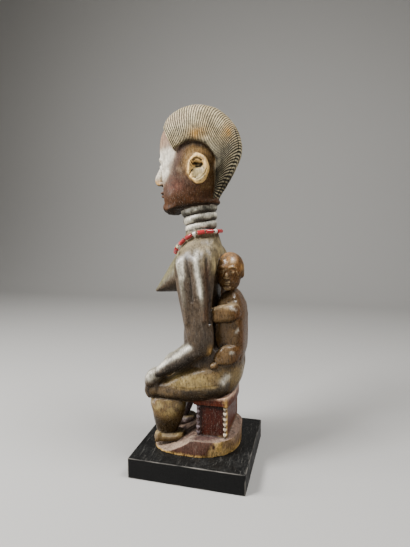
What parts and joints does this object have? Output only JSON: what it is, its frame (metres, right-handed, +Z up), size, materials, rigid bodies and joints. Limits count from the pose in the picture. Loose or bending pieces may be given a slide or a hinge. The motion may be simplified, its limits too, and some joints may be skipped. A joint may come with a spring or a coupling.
{
  "type": "carved maternity figure",
  "caption": "Carved wooden figure of a seated woman with a child on her back and a bead necklace, on a square black block.",
  "frame": {"origin": "centre of the plinth's underside", "axes": "+Z up, -Y the way the woman faces, +X her left"},
  "size_m": [0.12, 0.12, 0.3761],
  "materials": {
    "black_wood": "black stain, lightly dusty satin",
    "carved_wood": "carved, dark worn patina with pale kaolin on the face",
    "red_glass": "opaque gloss",
    "pale_glass": "opaque gloss",
    "thread": "twisted dark thread"
  },
  "bodies": {
    "root": {"plinth": "black_wood", "figure": "carved_wood", "red_bead_01": "red_glass", "red_bead_02": "red_glass", "spacer_bead_03": "pale_glass", "red_bead_04": "red_glass", "red_bead_05": "red_glass", "spacer_bead_06": "pale_glass", "red_bead_07": "red_glass", "red_bead_08": "red_glass", "spacer_bead_09": "pale_glass", "red_bead_10": "red_glass", "red_bead_11": "red_glass", "spacer_bead_12": "pale_glass", "red_bead_13": "red_glass", "red_bead_14": "red_glass", "spacer_bead_15": "pale_glass", "red_bead_16": "red_glass", "red_bead_17": "red_glass", "spacer_bead_18": "pale_glass", "red_bead_19": "red_glass", "red_bead_20": "red_glass", "spacer_bead_21": "pale_glass", "necklace_thread": "thread"}
  },
  "joints": []
}
